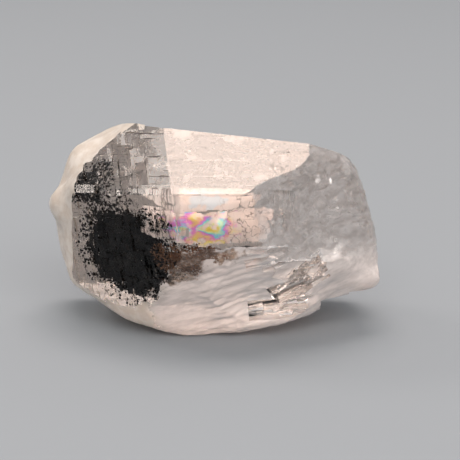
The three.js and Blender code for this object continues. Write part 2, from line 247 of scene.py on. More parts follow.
QUARTZ_IOR = 1.544
ABSORPTION_COLOUR = (0.94, 0.91, 0.89)
ABSORPTION_DENSITY = 6.0
CLEAR_TINT = (0.99, 0.965, 0.95)
SKIN_DARK = (0.78, 0.68, 0.58)
SKIN_PALE = (0.93, 0.86, 0.78)
BREAK_GREY = (0.96, 0.96, 0.97)
# The pink of the break is painted glow, standing in for warm light scattered inside the crystal.
BREAK_GLOW_PINK = (1.0, 0.88, 0.83)
BREAK_TURN = (0, BREAK_RISE, 0)

# The flat faces mirror less than real quartz does, so the mineral behind them stays black.
FACE_MIRRORING = 0.35

# Where the skin gives way to the break, and where the painted pink glow of the break fades in, in mm.
SKIN_FADE_X = (-10.0, -4.0)
GLOW_FADE_Z = (26.0, 19.0)
GLOW_FADE_X = (20.0, 8.0)
LOBE_GLOW_FADE_Z = (21.0, 14.0)

# The brown stain to the right of the black mineral: middles and half sizes across and up, in mm.
HALO_OVALS = (((-6.5, 18.0), (5.5, 4.8)), ((-1.5, 20.3), (8.5, 2.0)))
HALO_BROWN = (0.42, 0.26, 0.16)

# Patches of colour on the bright fracture: middle and half sizes across and up, in mm.
RAINBOW_OVAL = ((-2.0, 25.0), (7.4, 2.9))
BLUE_OVAL = ((-0.6, 31.0), (3.8, 1.3))

# The colours of a thin film, from one end of its order to the other.
FILM_COLOURS = (
    (0.30, (0.98, 0.88, 0.8)),
    (0.40, (1.0, 0.9, 0.12)),
    (0.47, (0.98, 0.5, 0.5)),
    (0.52, (0.92, 0.22, 0.95)),
    (0.58, (0.15, 0.85, 1.0)),
    (0.64, (0.8, 1.0, 0.6)),
    (0.72, (1.0, 0.88, 0.1)),
)

# Softboxes: direction from the crystal, distance, sides, brightness, colour.
SOFTBOXES = {
    "top_softbox": ((0.0, 0.208, 0.978), 0.75, (0.48, 0.3), 9.8, (1.0, 0.88, 0.81)),
    "left_softbox": ((-0.678, 0.305, 0.669), 0.7, (0.2, 0.16), 9.0, (1.0, 0.9, 0.83)),
    "front_softbox": ((0.15, -0.74, 0.66), 0.9, (0.9, 0.5), 4.4, (1.0, 0.93, 0.88)),
}
ROOM_LOW = (0.2, 0.21, 0.22)
ROOM_HIGH = (0.98, 0.95, 0.93)
ROOM_STRENGTH = 0.95
FLOOR_SIZE = 4
FLOOR_COLOUR = (0.215, 0.235, 0.255, 1)

# The camera's aim in mm, its distance in metres, and its focal length in pixels of the image.
CAMERA_AIM = (3.1, 0.0, 19.8)
CAMERA_DISTANCE = 0.4
FOCAL_LENGTH_PIXELS = 2000
IMAGE_WIDTH_PIXELS = 460
SENSOR_WIDTH = 36


def direction_in_view(clock, lean):
    across, towards = math.radians(clock), math.radians(lean)
    x = math.cos(towards) * math.cos(across)
    y = -math.sin(towards)
    z = math.cos(towards) * math.sin(across)
    cos_down, sin_down = math.cos(-VIEW_DOWN), math.sin(-VIEW_DOWN)
    return np.array([x, y * cos_down - z * sin_down, y * sin_down + z * cos_down])


def unit(vector):
    vector = np.asarray(vector, float)
    return vector / np.linalg.norm(vector)


def normal_through(first, second, third):
    normal = unit(np.cross(second - first, third - first))
    return normal if normal @ (first - HEART) > 0 else -normal


def in_place(points):
    """Millimetres about the heart to metres in the part's frame."""
    return (np.asarray(points, float) - MIDDLE) * MM


def new_object(name, points, faces, finish=ROUGH):
    """Every cutter carries the finish that it leaves on the crystal."""
    mesh = bpy.data.meshes.new(name)
    mesh.from_pydata([tuple(p) for p in in_place(points)], [], [tuple(f) for f in faces])
    for label in ("rough", "face", "back"):
        mesh.materials.append(bpy.data.materials.get(label) or bpy.data.materials.new(label))
    for polygon in mesh.polygons:
        polygon.material_index = finish
    piece = bpy.data.objects.new(name, mesh)
    bpy.context.scene.collection.objects.link(piece)
    return piece


def lattice_value(cell, seed):
    """A steady random number from 0 to 1 for each whole-number cell."""
    mixed = (cell[..., 0] * 374761393 + cell[..., 1] * 668265263 + cell[..., 2] * 2147483647
             + seed * 1274126177).astype(np.int64)
    mixed = (mixed ^ (mixed >> 13)) * 1274126177
    mixed = (mixed ^ (mixed >> 16)) & 0xFFFF
    return mixed / 65535.0


def soft_noise(points, seed=0):
    low = np.floor(points).astype(np.int64)
    part = points - low
    part = part * part * (3 - 2 * part)
    total = np.zeros(points.shape[:-1])
    for dx in (0, 1):
        for dy in (0, 1):
            for dz in (0, 1):
                corner = lattice_value(low + np.array([dx, dy, dz]), seed)
                weight = (np.where(dx, part[..., 0], 1 - part[..., 0])
                          * np.where(dy, part[..., 1], 1 - part[..., 1])
                          * np.where(dz, part[..., 2], 1 - part[..., 2]))
                total += corner * weight
    return total * 2 - 1


def layered_noise(points, octaves=3, seed=0):
    total = np.zeros(points.shape[:-1])
    strength = 1.0
    for octave in range(octaves):
        total += strength * soft_noise(points * 2 ** octave, seed + octave)
        strength *= 0.5
    return total


def lumps(direction, pitch):
    x, y, z = direction[..., 0], direction[..., 1], direction[..., 2]
    return (np.sin(x * pitch + 1.3) * np.cos(y * pitch * 1.2 + 0.4)
            + np.sin(z * pitch * 0.9 + 2.1) * np.cos(x * pitch * 1.4 + 3.0)
            + np.sin(y * pitch * 1.6 + 0.7) * np.cos(z * pitch * 1.3 + 1.9))


def rough_radius(direction):
    total = np.zeros(direction.shape[:-1])
    for clock, lean, distance in ROUGH_SIDES.values():
        facing = np.maximum(0, direction @ direction_in_view(clock, lean)) / distance
        total += facing ** SIDE_SHARPNESS
    radius = total ** (-1 / SIDE_SHARPNESS) + LUMP_HEIGHT * lumps(direction, 7)
    for clock, lean, spread, height in ROUGH_BUMPS.values():
        facing = np.clip(direction @ direction_in_view(clock, lean), -1, 1)
        away = np.arccos(facing) / math.radians(spread)
        radius += height * np.exp(-away ** 2)
    return radius


def rough_normal(direction):
    """The outward direction of the rough surface itself, from three points close together."""
    side = unit(np.cross(direction, [0, 1, 0]))
    other = np.cross(side, direction)
    moved = np.array([unit(direction + 0.05 * offset) for offset in (0 * side, side, other)])
    start, first, second = moved * rough_radius(moved)[:, None]
    normal = unit(np.cross(first - start, second - start))
    return normal if normal @ direction > 0 else -normal


def hollow_radius(direction, radius):
    """Where a shell-like hollow reaches in under the rough surface, the surface follows it."""
    for clock, lean, hollow, depth in SHELL_HOLLOWS:
        towards = direction_in_view(clock, lean)
        centre = towards * rough_radius(towards[None])[0] + rough_normal(towards) * (hollow - depth)
        along = direction @ centre
        inside = along ** 2 - centre @ centre + hollow ** 2
        entry = along - np.sqrt(np.maximum(inside, 0))
        radius = np.where((inside > 0) & (along > 0), np.minimum(radius, entry), radius)
    return radius


def broken_share(points):
    """0 on the milky skin round the left end, 1 on the broken right end."""
    return np.clip((points[..., 0] + 12) / 14, 0, 1)


def fine_relief(points):
    broken = broken_share(points)
    skin = 0.10 * layered_noise(points / 2.2, 3, 3) + 0.05 * layered_noise(points / 0.8, 2, 8)
    rise = math.radians(BREAK_RISE)
    along = points[..., 0] * math.cos(rise) + points[..., 2] * math.sin(rise)
    across = points[..., 2] * math.cos(rise) - points[..., 0] * math.sin(rise)
    stretched = np.stack([0.2 * along, points[..., 1], across], axis=-1)
    creases = 1 - np.abs(2 * layered_noise(stretched / 1.7, 2, 11))
    torn = 0.15 * creases + 0.1 * layered_noise(stretched / 0.9, 2, 15)
    waves = np.zeros(points.shape[:-1])
    for start, pitch in BREAK_RIPPLES:
        away = np.linalg.norm(points - np.array(start), axis=-1)
        away = away + 1.2 * soft_noise(points / 4.0, 21)
        waves += np.sin(away * 2 * math.pi / pitch) * np.exp(-away / 16)
    return (1 - broken) * skin + broken * (torn + 0.05 * waves)


def unit_ball(subdivisions, shift=(0, 0, 0)):
    """Directions all round, and the triangles between them, which are finest where the shift points."""
    ball = bmesh.new()
    bmesh.ops.create_icosphere(ball, subdivisions=subdivisions, radius=1.0)
    direction = np.array([v.co[:] for v in ball.verts]) + np.array(shift)
    direction /= np.linalg.norm(direction, axis=1)[:, None]
    faces = [[v.index for v in f.verts] for f in ball.faces]
    ball.free()
    return direction, faces


def rough_crystal():
    direction, faces = unit_ball(BALL_SUBDIVISIONS, BALL_SHIFT * direction_in_view(*FINEST_SIDE))
    radius = hollow_radius(direction, rough_radius(direction))
    points = HEART + direction * radius[:, None]
    points = points + direction * fine_relief(points)[:, None]
    return new_object("quartz_crystal", points, faces)


UPPER_FRONT_NORMAL = unit([0, -0.5, 0.866])
UPPER_BACK_NORMAL = unit([0.13, 0.49, 0.86])
LOWER_BACK_NORMAL = unit([0, 0.5, -0.866])
CROWN_NORMAL = direction_in_view(*CROWN_SIDE)
UPPER_END_NORMAL = normal_through(TOP_CORNER, SHOULDER_CORNER, POINT_CORNER)
LOWER_END_NORMAL = normal_through(SHOULDER_CORNER, LOWER_CORNER, POINT_CORNER)


def in_face(vector, normal):
    vector = np.asarray(vector, float)
    return unit(vector - normal * (vector @ normal))


POINT_EDGE = POINT_CORNER - SHOULDER_CORNER

# Each flat face: a corner, the directions along and down it, and its outward direction.
FACES = {
    "upper_end": dict(corner=SHOULDER_CORNER, along=POINT_EDGE, edge=TOP_CORNER - SHOULDER_CORNER,
                      normal=UPPER_END_NORMAL),
    "lower_end": dict(corner=SHOULDER_CORNER, along=POINT_EDGE, edge=LOWER_CORNER - SHOULDER_CORNER,
                      normal=LOWER_END_NORMAL),
    "front": dict(corner=SHOULDER_CORNER, along=np.array([1.0, 0, 0]), edge=np.array([0, 0, -1.0]),
                  normal=np.array([0, -1.0, 0])),
    "upper_front": dict(corner=SHOULDER_CORNER, along=np.array([1.0, 0, 0]),
                        edge=in_face([0, 1, 0], UPPER_FRONT_NORMAL), normal=UPPER_FRONT_NORMAL),
    "upper_back": dict(corner=TOP_CORNER, along=in_face([1, 0, 0], UPPER_BACK_NORMAL),
                       edge=in_face([0, 1, 0], UPPER_BACK_NORMAL), normal=UPPER_BACK_NORMAL),
    "back": dict(corner=np.array([0, BACK_FACE_Y, 0]), along=np.array([1.0, 0, 0]),
                 edge=np.array([0, 0, 1.0]), normal=np.array([0, 1.0, 0])),
}


def box_object(name, centre, axes, sizes, finish=ROUGH):
    """A box on three axes given as rows, turned so that its faces point outwards."""
    axes = np.array([unit(a) for a in axes])
    if np.linalg.det(axes) < 0:
        axes[1] = -axes[1]
    half = np.array(sizes) / 2
    signs = np.array([(x, y, z) for x in (-1, 1) for y in (-1, 1) for z in (-1, 1)], float)
    points = np.asarray(centre, float) + (signs * half) @ axes
    faces = [(0, 1, 3, 2), (4, 6, 7, 5), (0, 4, 5, 1), (2, 3, 7, 6), (0, 2, 6, 4), (1, 5, 7, 3)]
    return new_object(name, points, faces, finish)


def block_outside(name, normal, point, finish=FACE, size=120.0):
    """A big block beyond the plane through the point, which leaves a flat face when cut away."""
    normal = unit(normal)
    side = unit(np.cross(normal, [0.3, 0.5, 0.8]))
    other = np.cross(normal, side)
    centre = np.asarray(point) + normal * size / 2
    return box_object(name, centre, (side, other, normal), (size,) * 3, finish)


def stepped_patch(name, face, along_lines, edge_lines, depth, tilt, finish):
    """A cutter whose underside is a mosaic of blocks, each with its own depth and tilt.

    Lines and depths are in millimetres. A cell with no depth stays a little above the face."""
    gap = 0.02
    above = 0.05
    thickness = 3.0

    def doubled(lines):
        inner = [value for line in lines[1:-1] for value in (line - gap, line + gap)]
        return np.array([lines[0], *inner, lines[-1]])

    def spread_out(cells):
        return np.repeat(np.repeat(cells, 2, axis=0), 2, axis=1)

    along, edge, normal = unit(face["along"]), unit(face["edge"]), face["normal"]
    grid_a, grid_e = np.meshgrid(doubled(along_lines), doubled(edge_lines), indexing="ij")
    middle_a, middle_e, slope_a, slope_e = (spread_out(layer) for layer in tilt)
    sunk = spread_out(depth)
    tilted = sunk + (grid_a - middle_a) * slope_a + (grid_e - middle_e) * slope_e
    sunk = np.clip(np.where(sunk > 0, tilted, -above), -above, None)
    flat = face["corner"] + grid_a[..., None] * along + grid_e[..., None] * edge
    floor = flat - sunk[..., None] * normal
    rows, columns = grid_a.shape
    points = np.concatenate([floor.reshape(-1, 3), (flat + thickness * normal).reshape(-1, 3)])
    index = np.arange(rows * columns).reshape(rows, columns)
    lift = rows * columns
    faces = []
    for r in range(rows - 1):
        for c in range(columns - 1):
            a, b, d, e = index[r, c], index[r + 1, c], index[r + 1, c + 1], index[r, c + 1]
            faces.append((a, b, d))
            faces.append((a, d, e))
            faces.append((e + lift, d + lift, b + lift, a + lift))
    rim = ([(index[r, 0], index[r + 1, 0]) for r in range(rows - 1)]
           + [(index[-1, c], index[-1, c + 1]) for c in range(columns - 1)]
           + [(index[r + 1, -1], index[r, -1]) for r in range(rows - 1)]
           + [(index[0, c + 1], index[0, c]) for c in range(columns - 1)])
    faces += [(b, a, a + lift, b + lift) for a, b in rim]
    if np.dot(np.cross(along, edge), normal) > 0:
        faces = [f[::-1] for f in faces]
    return new_object(name, points, faces, finish)


def uneven_lines(rng, start, end, count, narrowest=0.25):
    widths = narrowest + rng.random(count) ** 2.2
    lines = np.concatenate([[0], np.cumsum(widths)])
    return start + (end - start) * lines / lines[-1]


def terraces(rng, along_lines, edge_lines, count, sizes, step, deepest, tilt, lean=0.0, keep=None):
    """Overlapping rectangles, each a little deeper and tilted its own way, as growth steps are.

    Sizes are the longest sides along and down the face, in millimetres. Lean is a further
    tilt in degrees that grows along the face."""
    shape = len(along_lines) - 1, len(edge_lines) - 1
    depth = np.zeros(shape)
    layers = np.zeros((4, *shape))
    for _ in range(count):
        middle = rng.uniform(along_lines[0], along_lines[-1]), rng.uniform(edge_lines[0], edge_lines[-1])
        half = [0.5 * size * (0.25 + 0.75 * rng.random()) for size in sizes]
        a_from, a_to = np.searchsorted(along_lines, (middle[0] - half[0], middle[0] + half[0]))
        e_from, e_to = np.searchsorted(edge_lines, (middle[1] - half[1], middle[1] + half[1]))
        block = (slice(max(a_from - 1, 0), max(a_to, 1)), slice(max(e_from - 1, 0), max(e_to, 1)))
        depth[block] += step * rng.uniform(0.3, 1.0)
        slopes = rng.normal(0, math.tan(math.radians(tilt)), 2)
        slopes[0] += math.tan(math.radians(lean)) * middle[0] / along_lines[-1]
        for layer, value in zip(layers, (*middle, *slopes)):
            layer[block] = value
    depth = np.minimum(depth, deepest)
    if keep is not None:
        middle_a = (along_lines[1:] + along_lines[:-1]) / 2
        middle_e = (edge_lines[1:] + edge_lines[:-1]) / 2
        depth *= keep(*np.meshgrid(middle_a, middle_e, indexing="ij"))
    depth[depth < 0.02] = 0
    return depth, layers


def growing_along_front(along, down):
    """0 on the smooth part of the front face, 1 where its steps have their full depth."""
    return np.clip((along - FRONT_STEPS_START) / FRONT_STEPS_GROWTH, 0, 1)


def growth_step_cutters():
    rng = np.random.default_rng(GROWTH_SEED)
    cutters = []
    for name, (face, a_span, e_span, counts, *blocks) in GROWTH_STEPS.items():
        along_lines = uneven_lines(rng, *a_span, counts[0])
        edge_lines = uneven_lines(rng, *e_span, counts[1])
        keep = growing_along_front if name == "front" else None
        depth, tilts = terraces(rng, along_lines, edge_lines, *blocks, keep=keep)
        finish = BACK_SIDE if "back" in name else FACE
        cutters.append(stepped_patch(
            name + "_steps", FACES[face], along_lines, edge_lines, depth, tilts, finish))
    return cutters


def splinter_cutters():
    rng = np.random.default_rng(SPLINTER_SEED)
    cutters = []
    for name, (middle, along, outward, sides, longest, count, step, tilt, finish) in SPLINTERS.items():
        normal = unit(outward)
        along = in_face(along, normal)
        edge = np.cross(normal, along)
        corner = np.array(middle) - along * sides[0] / 2 - edge * sides[1] / 2
        face = dict(corner=corner, along=along, edge=edge, normal=normal)
        along_lines = uneven_lines(rng, 0, sides[0], SPLINTER_LINES[0])
        edge_lines = uneven_lines(rng, 0, sides[1], SPLINTER_LINES[1])
        block_sides = (sides[0] * longest, SPLINTER_WIDTH)
        depth, tilts = terraces(rng, along_lines, edge_lines, count, block_sides, step, 4 * step, tilt)
        cutters.append(stepped_patch(name, face, along_lines, edge_lines, depth, tilts, finish))
    return cutters


def ledge_cutters():
    outward = direction_in_view(*LEDGE_SIDE)
    across = np.cross(outward, LEDGE_RUN)
    along = np.cross(across, outward)
    return [box_object(f"ledge_{i}", centre, (along, across, outward), sizes)
            for i, (centre, sizes) in enumerate(LEDGES)]


def overhang_cutters():
    outward = unit(OVERHANG_OUTWARD)
    across = unit(np.cross(outward, [1, 0, 0]))
    along = np.cross(across, outward)
    return [box_object(f"overhang_{i}", centre, (along, across, outward), sizes)
            for i, (centre, sizes) in enumerate(OVERHANG_STEPS)]


def upper_back_cutter():
    cutter = block_outside("upper_back", UPPER_BACK_NORMAL, TOP_CORNER, BACK_SIDE)
    return carve(cutter, [block_outside("skin_side", SKIN_SIDE_OUTWARD, SKIN_SIDE_POINT, ROUGH)])


def keep_evaluated_mesh(piece):
    """Gives the piece the mesh that its modifiers make, and takes them off."""
    bpy.context.view_layer.update()
    evaluated = piece.evaluated_get(bpy.context.evaluated_depsgraph_get())
    made = bpy.data.meshes.new_from_object(evaluated)
    piece.modifiers.clear()
    piece.data = made
    made.name = piece.name


def carve(piece, cutters):
    """Takes the cutters away from the piece, one after another, and deletes them."""
    for cutter in cutters:
        modifier = piece.modifiers.new(cutter.name, "BOOLEAN")
        modifier.operation = "DIFFERENCE"
        modifier.solver = "MANIFOLD"
        modifier.object = cutter
    keep_evaluated_mesh(piece)
    for cutter in cutters:
        bpy.data.objects.remove(cutter)
    return piece


def make_crystal():
    rough = rough_crystal()
    front, back = FACES["front"], FACES["back"]
    flat = [
        block_outside("upper_front", UPPER_FRONT_NORMAL, SHOULDER_CORNER),
        block_outside("front", front["normal"], SHOULDER_CORNER),
        block_outside("back", back["normal"], back["corner"], BACK_SIDE),
        block_outside("lower_back", LOWER_BACK_NORMAL, (0, BACK_FACE_Y, LOWER_BACK_EDGE_Z), BACK_SIDE),
        block_outside("upper_end", UPPER_END_NORMAL, TOP_CORNER),
        block_outside("lower_end", LOWER_END_NORMAL, SHOULDER_CORNER),
        block_outside("crown", CROWN_NORMAL, HEART + CROWN_NORMAL * CROWN_DISTANCE, ROUGH),
        upper_back_cutter(),
        block_outside("base", (0, 0, -1), (0, 0, 0), BACK_SIDE),
    ]
    detail = growth_step_cutters() + ledge_cutters() + splinter_cutters()
    return carve(rough, flat + overhang_cutters() + detail)


def add_node(tree, kind, inputs=None, **settings):
    made = tree.nodes.new(kind)
    for name, value in settings.items():
        setattr(made, name, value)
    for key, value in (inputs or {}).items():
        if isinstance(value, bpy.types.NodeSocket):
            tree.links.new(value, made.inputs[key])
        else:
            made.inputs[key].default_value = value
    return made


def millimetres(tree, stretch=(1, 1, 1), turn=(0, 0, 0)):
    """Object coordinates in millimetres, turned first and then stretched."""
    place = add_node(tree, "ShaderNodeTexCoord").outputs["Object"]
    turned = add_node(tree, "ShaderNodeMapping", {
        "Vector": place, "Rotation": tuple(math.radians(angle) for angle in turn)}).outputs["Vector"]
    scale = tuple(1000 * value for value in stretch)
    return add_node(tree, "ShaderNodeMapping", {"Vector": turned, "Scale": scale}).outputs["Vector"]


def noise(tree, place, size, detail=3.0, roughness=0.5):
    made = add_node(tree, "ShaderNodeTexNoise", {
        "Vector": place, "Scale": 1.0 / size, "Detail": detail, "Roughness": roughness})
    return made.outputs["Fac"]


def band(tree, value, low, high, start=0.0, end=1.0):
    made = add_node(tree, "ShaderNodeMapRange", {
        "Value": value, "From Min": low, "From Max": high, "To Min": start, "To Max": end})
    made.interpolation_type = "SMOOTHSTEP"
    return made.outputs["Result"]


def calculate(tree, operation, first, second=0.5):
    made = add_node(tree, "ShaderNodeMath", operation=operation)
    for socket, value in zip(made.inputs, (first, second)):
        if isinstance(value, bpy.types.NodeSocket):
            tree.links.new(value, socket)
        else:
            socket.default_value = value
    return made.outputs["Value"]


def times(tree, first, second):
    return calculate(tree, "MULTIPLY", first, second)


def blend(tree, factor, first, second):
    made = add_node(tree, "ShaderNodeMix", data_type="RGBA")
    for socket, value in ((made.inputs[0], factor), (made.inputs[6], first), (made.inputs[7], second)):
        if isinstance(value, bpy.types.NodeSocket):
            tree.links.new(value, socket)
        elif isinstance(value, tuple):
            socket.default_value = (*value, 1)
        else:
            socket.default_value = value
    return made.outputs[2]


def geometry_tree(name, sockets):
    """An empty tree with a geometry input, the named inputs and a geometry output."""
    tree = bpy.data.node_groups.new(name, "GeometryNodeTree")
    tree.interface.new_socket("Geometry", in_out="INPUT", socket_type="NodeSocketGeometry")
    for label, kind in sockets.items():
        tree.interface.new_socket(label, in_out="INPUT", socket_type="NodeSocket" + kind)
    tree.interface.new_socket("Geometry", in_out="OUTPUT", socket_type="NodeSocketGeometry")
    return tree, tree.nodes.new("NodeGroupInput").outputs


def random_value(tree, kind, low, high, seed):
    first = {"FLOAT_VECTOR": 0, "FLOAT": 2}[kind]
    limits = {first: low, first + 1: high, "Seed": seed}
    made = add_node(tree, "FunctionNodeRandomValue", limits, data_type=kind)
    return made.outputs[0 if first == 0 else 1]


def combined(tree, operation, first, second):
    return add_node(tree, "ShaderNodeVectorMath", {0: first, 1: second}, operation=operation).outputs[0]


def scaled(tree, vector, factor):
    made = add_node(tree, "ShaderNodeVectorMath", {0: vector, "Scale": factor}, operation="SCALE")
    return made.outputs[0]


def along_direction(tree, vector, direction):
    made = add_node(tree, "ShaderNodeVectorMath", {0: vector, 1: direction}, operation="DOT_PRODUCT")
    return made.outputs["Value"]


def without(tree, points, unwanted):
    made = add_node(tree, "GeometryNodeDeleteGeometry", {"Geometry": points, "Selection": unwanted})
    return made.outputs[0]


def in_clumps(tree, points, given, detail):
    """Takes away the points that lie between the clumps."""
    clumps = add_node(tree, "ShaderNodeTexNoise", {
        "Vector": add_node(tree, "GeometryNodeInputPosition").outputs[0],
        "Scale": calculate(tree, "DIVIDE", 1.0, given["Clump Size"]), "Detail": detail}).outputs[0]
    return without(tree, points, calculate(tree, "LESS_THAN", clumps, given["Clumping"]))


def keep_inside_crystal(tree, points, crystal_socket, clearance):
    """Takes away the points that lie outside the crystal or too near its surface."""
    body = add_node(tree, "GeometryNodeObjectInfo", {"Object": crystal_socket}).outputs["Geometry"]
    direction = (0.31, 0.22, 0.92)
    ray = add_node(tree, "GeometryNodeRaycast", {
        "Target Geometry": body, "Ray Direction": direction, "Ray Length": 1.0})
    facing = along_direction(tree, ray.outputs["Hit Normal"], direction)
    near = add_node(tree, "GeometryNodeProximity", {"Geometry": body}).outputs["Distance"]
    outside = calculate(tree, "LESS_THAN", facing, 0.0)
    missed = calculate(tree, "SUBTRACT", 1.0, ray.outputs["Is Hit"])
    shallow = calculate(tree, "LESS_THAN", near, clearance)
    unwanted = calculate(tree, "MAXIMUM", calculate(tree, "MAXIMUM", outside, missed), shallow)
    return without(tree, points, unwanted)


def scatter(tree, points, shape, turn, size, seed, material):
    """One small shape on every point, in uneven sizes, made real and given its material."""
    spread = calculate(tree, "POWER", random_value(tree, "FLOAT", 0.0, 1.0, seed), 2.5)
    spread = calculate(tree, "ADD", times(tree, spread, 0.8), 0.2)
    uneven = random_value(tree, "FLOAT_VECTOR", (0.55, 0.55, 0.55), (1.0, 1.0, 1.0), seed)
    uneven = scaled(tree, uneven, times(tree, spread, size))
    placed = add_node(tree, "GeometryNodeInstanceOnPoints", {
        "Points": points, "Instance": shape, "Rotation": turn, "Scale": uneven}).outputs[0]
    real = add_node(tree, "GeometryNodeRealizeInstances", {"Geometry": placed}).outputs[0]
    flat = add_node(tree, "GeometryNodeSetShadeSmooth", {"Geometry": real, "Shade Smooth": False}).outputs[0]
    dressed = add_node(tree, "GeometryNodeSetMaterial", {"Geometry": flat, "Material": material}).outputs[0]
    add_node(tree, "NodeGroupOutput", {"Geometry": dressed})


def grain_tree():
    """Grains strewn through a flattened round cloud, thickest in its middle and in clumps."""
    tree, given = geometry_tree("mineral_grains", {
        "Count": "Int", "Seed": "Int", "Centre": "Vector", "Half Sizes": "Vector", "Turn": "Vector",
        "Gathering": "Float", "Clump Size": "Float", "Clumping": "Float", "Grain Size": "Float",
        "Clearance": "Float", "Crystal": "Object", "Material": "Material"})
    seed = given["Seed"]
    direction = random_value(tree, "FLOAT_VECTOR", (-1, -1, -1), (1, 1, 1), seed)
    direction = add_node(tree, "ShaderNodeVectorMath", {0: direction}, operation="NORMALIZE").outputs[0]
    reach = calculate(tree, "POWER", random_value(tree, "FLOAT", 0.0, 1.0, seed), given["Gathering"])
    place = combined(tree, "MULTIPLY", scaled(tree, direction, reach), given["Half Sizes"])
    place = add_node(tree, "ShaderNodeVectorRotate", {"Vector": place, "Rotation": given["Turn"]},
                     rotation_type="EULER_XYZ").outputs[0]
    place = combined(tree, "ADD", place, given["Centre"])
    points = add_node(tree, "GeometryNodePoints", {"Count": given["Count"], "Position": place}).outputs[0]
    points = in_clumps(tree, points, given, 2.0)
    points = keep_inside_crystal(tree, points, given["Crystal"], given["Clearance"])
    grain = add_node(tree, "GeometryNodeMeshIcoSphere", {"Radius": 1.0, "Subdivisions": 1}).outputs[0]
    turn = random_value(tree, "FLOAT_VECTOR", (0, 0, 0), (6.28, 6.28, 6.28), seed)
    scatter(tree, points, grain, turn, given["Grain Size"], seed, given["Material"])
    return tree


def flake_tree():
    """Thin six-sided flakes spread over a sheet, each lying nearly along it."""
    tree, given = geometry_tree("fracture_flakes", {
        "Density": "Float", "Seed": "Int", "Flake Size": "Float", "Tilt": "Float", "Clump Size": "Float",
        "Clumping": "Float", "Clearance": "Float", "Crystal": "Object", "Material": "Material"})
    seed = given["Seed"]
    spread = add_node(tree, "GeometryNodeDistributePointsOnFaces", {
        "Mesh": given["Geometry"], "Density": given["Density"], "Seed": seed})
    points = in_clumps(tree, spread.outputs["Points"], given, 3.0)
    points = keep_inside_crystal(tree, points, given["Crystal"], given["Clearance"])
    sway = random_value(tree, "FLOAT_VECTOR", (-1, -1, -1), (1, 1, 1), seed)
    facing = combined(tree, "ADD", spread.outputs["Normal"], scaled(tree, sway, given["Tilt"]))
    turn = add_node(tree, "FunctionNodeAlignRotationToVector", {"Vector": facing}, axis="Z").outputs[0]
    flake = add_node(tree, "GeometryNodeMeshCylinder", {"Vertices": 6, "Radius": 1.0, "Depth": 0.12})
    scatter(tree, points, flake.outputs[0], turn, given["Flake Size"], seed, given["Material"])
    return tree


def grown(name, source_mesh, tree, values):
    """Runs a tree on a mesh and keeps the result as a plain mesh, sizes in metres."""
    piece = bpy.data.objects.new(name, source_mesh)
    bpy.context.scene.collection.objects.link(piece)
    modifier = piece.modifiers.new("grow", "NODES")
    modifier.node_group = tree
    for item in tree.interface.items_tree:
        if item.in_out == "INPUT" and item.name in values:
            modifier[item.identifier] = values[item.name]
    keep_evaluated_mesh(piece)
    return piece


def new_material(name):
    material = bpy.data.materials.new(name)
    material.use_nodes = True
    tree = material.node_tree
    return material, tree, tree.nodes["Principled BSDF"]


def feed(shader, name, value):
    """Links a value to one of the shader's inputs."""
    shader.id_data.links.new(value, shader.inputs[name])


def quartz_material(name):
    """The plain quartz shader that every surface of the crystal shares."""
    material, tree, shader = new_material(name)
    shader.inputs["IOR"].default_value = QUARTZ_IOR
    shader.inputs["Transmission Weight"].default_value = 1.0
    body = add_node(tree, "ShaderNodeVolumeAbsorption")
    body.inputs["Color"].default_value = (*ABSORPTION_COLOUR, 1)
    body.inputs["Density"].default_value = ABSORPTION_DENSITY
    tree.links.new(body.outputs["Volume"], tree.nodes["Material Output"].inputs["Volume"])
    return material, tree, shader


def coordinate(tree, place, axis):
    return add_node(tree, "ShaderNodeSeparateXYZ", {"Vector": place}).outputs[axis]


def bump(tree, shader, height, distance, strength=1.0):
    """Relief in the finish. The distance is in millimetres."""
    made = add_node(tree, "ShaderNodeBump", {
        "Height": height, "Distance": distance * MM, "Strength": strength})
    feed(shader, "Normal", made.outputs["Normal"])


def near_plane(tree, place, point, normal, reach):
    """1 on a flat face given by a point and its outward direction, 0 beyond the reach, in mm."""
    offset = combined(tree, "SUBTRACT", place, tuple(np.array(point) - MIDDLE))
    height = along_direction(tree, offset, tuple(normal))
    return band(tree, calculate(tree, "ABSOLUTE", height), reach, 0.4 * reach)


def patch(tree, place, centre, half_sizes, ragged):
    """1 inside a soft-edged oval seen from the front, 0 outside it. All in millimetres."""
    wander = add_node(tree, "ShaderNodeTexNoise", {"Vector": place, "Scale": 0.45, "Detail": 4.0})
    shift = combined(tree, "SUBTRACT", wander.outputs["Color"], (0.5, 0.5, 0.5))
    moved = combined(tree, "ADD", place, scaled(tree, shift, ragged))
    squares = []
    for axis, middle, half in zip("XZ", centre, half_sizes):
        share = calculate(tree, "SUBTRACT", coordinate(tree, moved, axis), middle)
        share = calculate(tree, "ABSOLUTE", calculate(tree, "DIVIDE", share, half))
        squares.append(calculate(tree, "POWER", share, 2.0))
    return band(tree, calculate(tree, "ADD", *squares), 1.1, 0.5)


def crack_lines(tree, place, size, width):
    """1 on thin wandering lines, 0 between them."""
    level = calculate(tree, "ABSOLUTE", calculate(tree, "SUBTRACT", noise(tree, place, size, 3.0), 0.5))
    return band(tree, level, width, 0.3 * width)


def film_colours(tree, tone):
    ramp = add_node(tree, "ShaderNodeValToRGB", {"Fac": tone})
    elements = ramp.color_ramp.elements
    while len(elements) < len(FILM_COLOURS):
        elements.new(0.5)
    for element, (position, colour) in zip(elements, FILM_COLOURS):
        element.position = position
        element.color = (*colour, 1)
    return ramp.outputs["Color"]


